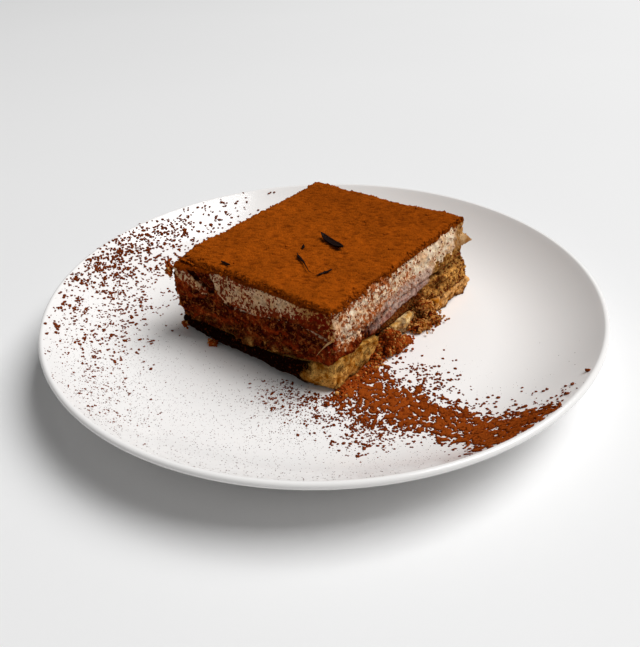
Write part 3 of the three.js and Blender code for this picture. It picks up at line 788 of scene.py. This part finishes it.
# Where loose crumb lies between the fingers' ends, in mm: its middle, its spread, and its count
GRAIN_PILES = [
    ((-10.5, -34.5, 7.4), (1.8, 1.4, 0.9), 260),
    ((0, -36.5, 7.2), (4.0, 2.2, 0.6), 260),
    ((17.5, -35.5, 8.0), (2.2, 1.8, 1.2), 420),
    ((20.5, -34.5, 9.0), (1.8, 1.3, 2.2), 900),
    ((-8.5, -34, 9.0), (1.0, 1.0, 2.0), 350),
    ((24, -39.5, 7.4), (4.0, 2.0, 0.7), 320),
    ((-24, -37.5, 6.9), (9.0, 1.0, 0.3), 300),
    ((-43.3, 44.8, 37), (0.6, 0.6, 1.3), 150),
    ((-42.4, 25.5, 7.6), (0.7, 1.0, 0.6), 120),
    ((-41.0, 43.5, 9.5), (0.5, 0.6, 0.6), 45),
]
PILED_SIZES = (0.25, 0.75)
# How many grains cling to each surface, and the smallest and largest in mm
HEAP_GRAINS = (1100, (0.22, 0.6))
CREAM_GRAINS = (500, (0.15, 0.42))
SPONGE_GRAINS = (900, (0.15, 0.5))
EDGE_GRAINS = (1500, (0.2, 0.5))


def uneven_template(shell, seed, wobble, flat):
    """Corners and faces of a plain shape about 2 across, once it is made uneven and flattened."""
    for vertex in shell.verts:
        vertex.co *= 1 + wobble * noise.noise(vertex.co * 1.7 + Vector((seed, 0, 0)))
    bmesh.ops.scale(shell, vec=(1, 1, flat), verts=shell.verts)
    bmesh.ops.triangulate(shell, faces=shell.faces)
    shell.verts.index_update()
    corners = np.array([vertex.co for vertex in shell.verts])
    faces = np.array([[v.index for v in face.verts] for face in shell.faces])
    shell.free()
    return corners, faces


def grain_template(seed, flat):
    """One uneven grain, from a small icosphere."""
    shell = bmesh.new()
    bmesh.ops.create_icosphere(shell, subdivisions=1, radius=1)
    return uneven_template(shell, seed, 0.35, flat)


def scattered(name, grains, placings):
    """Joins many turned and scaled copies of a few grains: each placing is a matrix."""
    corners, faces, first = [], [], 0
    for i, placing in enumerate(placings):
        own_corners, own_faces = grains[i % len(grains)]
        turn = np.array(placing.to_3x3())
        corners.append(own_corners @ turn.T + np.array(placing.translation))
        faces.append(own_faces + first)
        first += len(own_corners)
    mesh = bpy.data.meshes.new(name)
    mesh.from_pydata(np.concatenate(corners).tolist(), [], np.concatenate(faces).tolist())
    return add_piece(name, mesh)


def grain_at(spot, size, draw):
    turn = Matrix.Rotation(draw.uniform(0, 6.3), 4, "Z") @ Matrix.Rotation(draw.uniform(0, 3.1), 4, "X")
    return Matrix.Translation(spot) @ turn @ Matrix.Scale(size, 4)


def grains_on(piece, count, sizes, draw, wanted):
    """Placings for grains half sunk in a surface, as likely as wanted says of a height and a normal."""
    placings = []
    vertices = piece.data.vertices
    while len(placings) < count:
        vertex = vertices[draw.randrange(len(vertices))]
        if draw.random() < wanted(vertex.co.z / MM, vertex.normal):
            size = draw.uniform(*sizes) * MM
            placings.append(grain_at(vertex.co + 0.2 * size * vertex.normal, size, draw))
    return placings


def on_cocoa_edge(height, normal):
    """How likely cocoa grains stand out from the skin: only along its torn edge."""
    return ease(normal.z, 0.7, 0.5) * ease(normal.z, -0.2, 0.2)


def on_cut_face(height, normal):
    """How likely crumbs cling: most of all under the cocoa's edge and at the foot of the cut faces."""
    near, left, _, _ = facing(normal)
    return (near + left) * max(0.15, ease(height, 36, 41), 0.5 * ease(height, 26, 15))


draw = random.Random(GRAIN_SEED)
piled = []
for heap in heaps:
    piled += grains_on(heap, *HEAP_GRAINS, draw, lambda height, normal: 1)
for middles, spreads, count in GRAIN_PILES:
    for _ in range(count):
        x, y, z = [draw.gauss(middle, spread) * MM for middle, spread in zip(middles, spreads)]
        spot = Vector((x, y, max(z, PLATE_FLOOR)))
        piled.append(grain_at(spot, draw.uniform(*PILED_SIZES) * MM, draw))
scattered_right = [placing for placing in piled if placing.translation.x > DRY_FROM]
dry_grains = [placing @ Matrix.Scale(1.2, 4) for placing in piled[::7]] + scattered_right[::2]
piled = [placing for placing in piled if placing.translation.x <= DRY_FROM] + scattered_right[1::4]
clinging = grains_on(cream, *CREAM_GRAINS, draw, on_cut_face)
clinging += grains_on(upper, *SPONGE_GRAINS, draw, on_cut_face)
edge_grains = grains_on(cocoa, *EDGE_GRAINS, draw, on_cocoa_edge)
grains = [grain_template(seed, 0.85) for seed in range(6)]
cut_crumb = cocoa_powder("crumb on the cut faces", "#9a4a1c", "#5c2208", "#2a0a02")
LOOSE = {
    "loose_crumbs": (piled, crumb_powder, "crumb_heap_middle", "cocoa_crumb"),
    "loose_dry_crumbs": (dry_grains, dry_crumb, "crumb_heap_right", "cocoa_crumb"),
    "crumbs_on_cut_faces": (clinging, cut_crumb, "crumb_heap_middle", "cocoa_crumb"),
    "cocoa_on_edge": (edge_grains, damp_cocoa, "cocoa_top", "cocoa_powder"),
}
for name, (placings, *belongs) in LOOSE.items():
    finish_piece(scattered(name, grains, placings), *belongs)


# ---- Torn shreds --------------------------------------------------------------------------------
# What the knife left hanging: a flake of cream and a pale thread at the near face's ends, and a
# hair-thin curl of chocolate on the cocoa. Each is a bent strip that narrows to a point.

SHRED_SIDES = 6
# Points along a shred in mm, its width and thickness in mm, and the node and slot it belongs to
SHREDS = {
    "cream_flake": (
        [(53, -34.2, 33), (57, -34.8, 32), (61, -35.3, 30.3), (65.5, -35.6, 28.6)],
        (8.5, 1.6), "mascarpone", "mascarpone_cream",
    ),
    "cream_thread": (
        [(-40.2, -37, 32.5), (-41, -34, 29.5), (-41.4, -31.5, 26), (-41.2, -29.5, 23)],
        (0.8, 0.5), "mascarpone", "mascarpone_cream",
    ),
    "chocolate_thread": (
        [(-16.4, -4.2, 43.8), (-19.4, -8, 43.9), (-22, -11.6, 43.9), (-22.2, -14.4, 43.8)],
        (0.8, 0.5), "chocolate_shaving_3", "dark_chocolate",
    ),
}


def shred(name, points, size):
    """A prism bent along a path of straight runs, narrowing to a point."""
    path = [Vector(point) * MM for point in points]
    quarters = (0, 0.25, 0.5, 0.75)
    stops = [start.lerp(end, share) for start, end in zip(path, path[1:]) for share in quarters]
    stops.append(path[-1])
    last = len(stops) - 1
    shell = bmesh.new()
    bmesh.ops.create_cone(shell, cap_ends=True, segments=SHRED_SIDES, radius1=1, radius2=1, depth=2)
    long_edges = [edge for edge in shell.edges if edge.calc_length() > 1.5]
    bmesh.ops.subdivide_edges(shell, edges=long_edges, cuts=last - 1)
    for vertex in shell.verts:
        side, rise, reach = vertex.co
        i = round((reach + 1) / 2 * last)
        along = (stops[min(i + 1, last)] - stops[max(i - 1, 0)]).normalized()
        flat = along.cross(Vector((0, 0, 1))).normalized()
        taper = max(0.1, 1 - (i / last) ** 1.3)
        uneven = 1 + 0.4 * waves(stops[i], 2 * MM, 181)
        wide = flat.cross(along) * (rise * size[0] / 2 * taper * uneven * MM)
        vertex.co = stops[i] + wide + flat * (side * size[1] / 2 * taper * MM)
    bmesh.ops.recalc_face_normals(shell, faces=shell.faces)
    return new_piece(name, shell)


shred_colours = {
    "mascarpone_cream": soaked_sponge("cream shred", "#d8ae7c", "#a87440", "#6a3818", dust="#8a4a20"),
    "dark_chocolate": chocolate,
}
for name, (points, size, node, slot) in SHREDS.items():
    finish_piece(shred(name, points, size), shred_colours[slot], node, slot)


# ---- Cocoa drift on the plate -------------------------------------------------------------------
# Cocoa tapped over the plate from a sieve, thickest in a band from the near finger's foot to the
# rim. It lies in a thin, broken sheet, with worm-like gaps of bare glaze between its clots.

DRIFT_CELL = 0.29 * MM
DRIFT_BOX = {"low": Vector((-60, -113)) * MM, "high": Vector((-2, -34)) * MM}
DRIFT_SUNK = 0.25 * MM
# Cover below which the glaze is bare, and the cover of the thickest clots
BARE_COVER = 0.05
FULL_COVER = 0.45
# Along the drift, in mm: minus y, the left and right edge of its thick core, and how far clots reach
DRIFT_ROWS = np.array(
    [
        (34, -39, -12, -48, -6),
        (44, -40, -17, -50, -8),
        (55, -40, -19, -51, -9),
        (66, -37, -20, -49, -9),
        (74, -37, -19, -47, -11),
        (81, -38, -21, -48, -12),
        (86, -35, -23, -50, -12),
        (91, -41, -20, -54, -12),
        (99, -47, -18, -58, -10),
        (106, -45, -17, -53, -8),
        (112, -38, -16, -44, -8),
    ]
).T * MM


def drift_cover(x, y):
    """How thickly the cocoa lies, from BARE_COVER, where there is hardly any, to FULL_COVER."""
    left, right, left_reach, right_reach = [np.interp(-y, DRIFT_ROWS[0], row) for row in DRIFT_ROWS[1:]]
    outside = max((left - x) / (left - left_reach), (x - right) / (right_reach - right), 0.0)
    inside = min(x - left, right - x, 5 * MM) / (5 * MM) if outside == 0 else 0.0
    place = Vector((x, y, 0))
    clots = 1.1 * waves(place, 1.7 * MM, 151) + 0.6 * waves(place, 0.9 * MM, 153)
    clots += 0.4 * waves(place, 6 * MM, 155)
    gaps = ease(abs(waves(place, 3.4 * MM, 157) + 0.25 * waves(place, MM, 158)), 0.13, 0.05)
    over_rim = ease(math.hypot(x, y), 112 * MM, 113.5 * MM)
    return 0.22 + 0.2 * inside - 0.62 * outside + 0.5 * clots - (0.65 + 0.1 * outside) * gaps - 2 * over_rim


def cocoa_drift():
    span = DRIFT_BOX["high"] - DRIFT_BOX["low"]
    centre = (DRIFT_BOX["high"] + DRIFT_BOX["low"]) / 2
    shell = bmesh.new()
    bmesh.ops.create_grid(
        shell,
        x_segments=round(span.x / DRIFT_CELL),
        y_segments=round(span.y / DRIFT_CELL),
        size=0.5,
        matrix=Matrix.Translation((centre.x, centre.y, 0)) @ Matrix.Diagonal((span.x, span.y, 1, 1)),
    )
    hollow = shell.verts.layers.float.new("hollow")
    cover = {vertex: drift_cover(vertex.co.x, vertex.co.y) for vertex in shell.verts}
    bare = [face for face in shell.faces if max(cover[v] for v in face.verts) < BARE_COVER]
    bmesh.ops.delete(shell, geom=bare, context="FACES")
    for vertex in shell.verts:
        vertex.co.x += 0.3 * DRIFT_CELL * waves(vertex.co, 0.4 * MM, 159)
        vertex.co.y += 0.3 * DRIFT_CELL * waves(vertex.co, 0.4 * MM, 161)
        x, y, _ = vertex.co
        thick = min(1.0, max(0.0, cover[vertex] / FULL_COVER))
        grain = 0.2 * waves(vertex.co, 1.2 * MM, 163) + 0.1 * waves(vertex.co, 0.6 * MM, 165)
        lift = (0.7 * thick**0.6 + grain * thick) * MM - 0.04 * MM
        vertex[hollow] = 0.85 * ease(thick + 1.5 * grain, 0.7, 0.1)
        vertex.co.z = bowl_height(math.hypot(x, y)) + (0 if vertex.is_boundary else lift)
    under = bmesh.ops.extrude_face_region(shell, geom=shell.faces[:])
    sunk = [item for item in under["geom"] if isinstance(item, bmesh.types.BMVert)]
    for vertex in sunk:
        vertex.co.z = bowl_height(math.hypot(vertex.co.x, vertex.co.y)) - DRIFT_SUNK
    bmesh.ops.recalc_face_normals(shell, faces=shell.faces)
    return new_piece("cocoa_drift", shell)


dry_cocoa = cocoa_powder("dry cocoa powder", "#a9511a", "#86390d", "#5a1a08")
finish_piece(cocoa_drift(), dry_cocoa, "plate", "cocoa_powder")


# ---- Cocoa clots and dust on the plate ----------------------------------------------------------
# The same cocoa where it fell thinly: flat clots at the far rim, ever finer towards the left and
# the near side. Each clot is a few grains that clung together. The finest dust is coloured darker,
# partly as painted shade.

# Each puff of cocoa: the middle and spread of its radius in mm and of its angle in degrees, how
# many clots it left, and the smallest and largest in mm
CLOT_PUFFS = [
    ((109, 4), (108, 12), 290, (0.6, 1.2)),
    ((102, 7), (107, 15), 290, (0.55, 1.1)),
    ((106, 6), (84, 11), 190, (0.6, 1.1)),
    ((93, 11), (118, 13), 270, (0.45, 0.95)),
    ((97, 11), (140, 12), 330, (0.32, 0.72)),
    ((100, 9), (163, 9), 300, (0.22, 0.5)),
    ((54, 6), (203, 7), 240, (0.25, 0.6)),
    ((59, 7), (217, 8), 380, (0.27, 0.75)),
    ((74, 7), (231, 5), 420, (0.3, 0.8)),
    ((56, 8), (263, 4), 90, (0.4, 0.85)),
    ((78, 12), (258, 4), 70, (0.4, 0.85)),
    ((104, 6), (262, 4), 80, (0.4, 0.95)),
]
DUST_PUFFS = [
    ((100, 14), (120, 22), 1500, (0.12, 0.3)),
    ((92, 18), (161, 17), 2300, (0.15, 0.38)),
    ((88, 22), (196, 22), 1900, (0.17, 0.42)),
    ((62, 12), (212, 13), 1500, (0.2, 0.5)),
    ((88, 16), (236, 12), 700, (0.14, 0.34)),
    ((70, 26), (264, 10), 320, (0.1, 0.3)),
]
FALL_SEED = 17
# Clots that lie on their own, in mm: x, y and size
LONE_CLOTS = [
    (7.6, -111.4, 1.2), (0.1, -109.1, 1.0), (-7.2, -110, 1.0), (-10.7, -94.5, 0.85), (-16.2, -93.3, 0.8),
    (-8.1, -83, 0.75), (-7.1, -86.4, 0.85), (-9.9, -87, 0.65), (-13.2, -88.3, 0.7), (-1.2, -97.7, 0.6),
    (10.1, -54.4, 0.6), (4.7, -57, 0.65), (-0.7, -58.3, 0.75), (6.8, -61.8, 0.65), (1.7, -64.2, 0.75),
    (-2.1, -63.3, 0.7), (-0.9, -67.8, 0.7), (-5.3, -61.5, 0.6), (-6.3, -65.5, 0.7), (1.5, -49.3, 0.7),
    (25.7, -42.8, 1.3), (1.3, -42.1, 0.8), (-57.2, -62, 1.0), (-58.6, -54.4, 0.8), (-64.3, -38.8, 0.7),
    (-53.3, -64.9, 0.7), (-85.0, 44.6, 0.7), (-84.5, 46.8, 0.6), (-10.8, -72.5, 0.7), (-15, -78, 0.7),
]


def dust_template(seed):
    """One speck of dust, with as few faces as a solid can have."""
    shell = bmesh.new()
    bmesh.ops.create_cone(shell, cap_ends=True, cap_tris=True, segments=4, radius1=1, radius2=0, depth=0.8)
    return uneven_template(shell, seed, 0.4, 1)


def on_plate(x, y, size, spin, stretch):
    """A placing flat on the eating surface."""
    spot = Matrix.Translation((x, y, bowl_height(math.hypot(x, y)) + 0.1 * size))
    return spot @ Matrix.Rotation(spin, 4, "Z") @ Matrix.Diagonal((size * stretch, size / stretch, size, 1))


def off_plate(x, y):
    """Whether a spot is under the slice or past the rim."""
    across = SLICE_LOW.x - 3.5 < x / MM < SLICE_HIGH.x + 4
    under = across and SLICE_LOW.y - 1 < y / MM < SLICE_HIGH.y + 3
    return under or math.hypot(x, y) > PLATE_RADIUS - 1.6 * MM


def fallen(puffs, draw, cling):
    """Placings for the cocoa of some puffs; with cling, the larger ones lie in twos and threes."""
    placings = []
    for radii, degrees, left, (low, high) in puffs:
        while left > 0:
            radius = draw.gauss(*radii) * MM
            angle = math.radians(draw.gauss(*degrees))
            x, y = radius * math.cos(angle), radius * math.sin(angle)
            if off_plate(x, y):
                left -= 1
                continue
            spot = Vector((x, y, 0))
            clotted = 0.7 * waves(spot, 11 * MM, 171) + 0.7 * waves(spot, 3 * MM, 173)
            if cling and clotted < draw.uniform(-1.3, 0.3):
                continue
            left -= 1
            size = (low + (high - low) * draw.random() ** 1.5) * MM
            for _ in range(draw.choice((1, 1, 2, 3)) if cling and size > 0.45 * MM else 1):
                dx, dy = draw.gauss(0, size * 0.9), draw.gauss(0, size * 0.9)
                grain_size = size * draw.uniform(0.6, 1)
                spin = draw.uniform(0, 6.3)
                placings.append(on_plate(x + dx, y + dy, grain_size, spin, draw.uniform(1, 1.35)))
    return placings


draw = random.Random(FALL_SEED)
clot_placings = fallen(CLOT_PUFFS, draw, True)
for x, y, size in LONE_CLOTS:
    spin, stretch = draw.uniform(0, 6.3), draw.uniform(1, 1.3)
    clot_placings.append(on_plate(x * MM, y * MM, size * MM, spin, stretch))
    spin = draw.uniform(0, 6.3)
    clot_placings.append(on_plate((x + 0.5 * size) * MM, y * MM, 0.6 * size * MM, spin, 1.2))
flat_grains = [grain_template(seed, 0.5) for seed in range(6)]
specks = [dust_template(seed) for seed in range(5)]
clots = scattered("cocoa_clots", flat_grains, clot_placings)
dust = scattered("cocoa_dust", specks, fallen(DUST_PUFFS, draw, False))
clot_cocoa = cocoa_powder("sifted cocoa clots", "#8c4018", "#6a2a10", "#401608")
# Partly painted shade: the dust is darker than the clots, as it looks beside the slice's shadow.
shade_darkened_dust_cocoa = cocoa_powder("sifted cocoa dust, darkened as shade", "#64301c", "#461c0e", "#300e04")
finish_piece(clots, clot_cocoa, "plate", "cocoa_powder")
finish_piece(dust, shade_darkened_dust_cocoa, "plate", "cocoa_powder")


# ---- Floor, light and camera --------------------------------------------------------------------
# A pale seamless surface, one broad soft light from high on the right, like a window, and a faint
# fill from all round.

FLOOR_REACH = 6.0
FLOOR_MOTTLE = 1 / 3
WINDOW_PLACE = Vector((2.0, -1.85, 4.3))
WINDOW_AIM = Vector((0, 0, 0.02))
WINDOW_SIZE = (3.6, 3.0)
WINDOW_WATTS = 277
FAINT_FILL = 0.13
CAMERA_PLACE = Vector((-0.19710, -0.15896, 0.16871))
CAMERA_AIM = Vector((0.64989, 0.53010, -0.54465))
CAMERA_ROLL = math.radians(-2.04)
FOCAL_LENGTH = 38.13
SENSOR_WIDTH = 36


def pale_floor():
    """Matt white laminate: no more than a very faint mottle."""
    material = new_material("pale matt surface", Roughness=0.6, Specular_IOR_Level=0.2)
    place = add_node(material, "TexCoord", {})["Object"]
    mottle = add_node(material, "TexNoise", {"Vector": place, "Scale": 1 / FLOOR_MOTTLE})["Fac"]
    colour = add_node(material, "Mix", {0: mottle, 6: "#f1f1f1", 7: "#f5f5f5"}, data_type="RGBA")[2]
    fill_sockets(material, {"Base Color": colour})
    return material


shell = bmesh.new()
bmesh.ops.create_grid(shell, x_segments=8, y_segments=8, size=FLOOR_REACH)
floor = new_piece("floor", shell)
floor.data.materials.append(pale_floor())

window = bpy.data.lights.new("window", "AREA")
window.shape = "RECTANGLE"
window.size, window.size_y = WINDOW_SIZE
window.energy = WINDOW_WATTS
light = bpy.data.objects.new("window", window)
light.location = WINDOW_PLACE
light.rotation_euler = (WINDOW_AIM - WINDOW_PLACE).to_track_quat("-Z", "Y").to_euler()
bpy.context.scene.collection.objects.link(light)

world = bpy.data.worlds.new("pale room")
world.use_nodes = True
world.node_tree.nodes["Background"].inputs["Color"].default_value = (1, 1, 1, 1)
world.node_tree.nodes["Background"].inputs["Strength"].default_value = FAINT_FILL
bpy.context.scene.world = world

camera = bpy.data.objects.new("camera", bpy.data.cameras.new("camera"))
camera.data.lens = FOCAL_LENGTH
camera.data.sensor_width = SENSOR_WIDTH
camera.data.clip_start = 0.01
camera.data.clip_end = 30
camera.location = CAMERA_PLACE
looking = CAMERA_AIM.to_track_quat("-Z", "Y").to_matrix()
camera.rotation_euler = (looking @ Matrix.Rotation(CAMERA_ROLL, 3, "Z")).to_euler()
bpy.context.scene.collection.objects.link(camera)
bpy.context.scene.camera = camera
bpy.context.scene.view_settings.view_transform = "Standard"
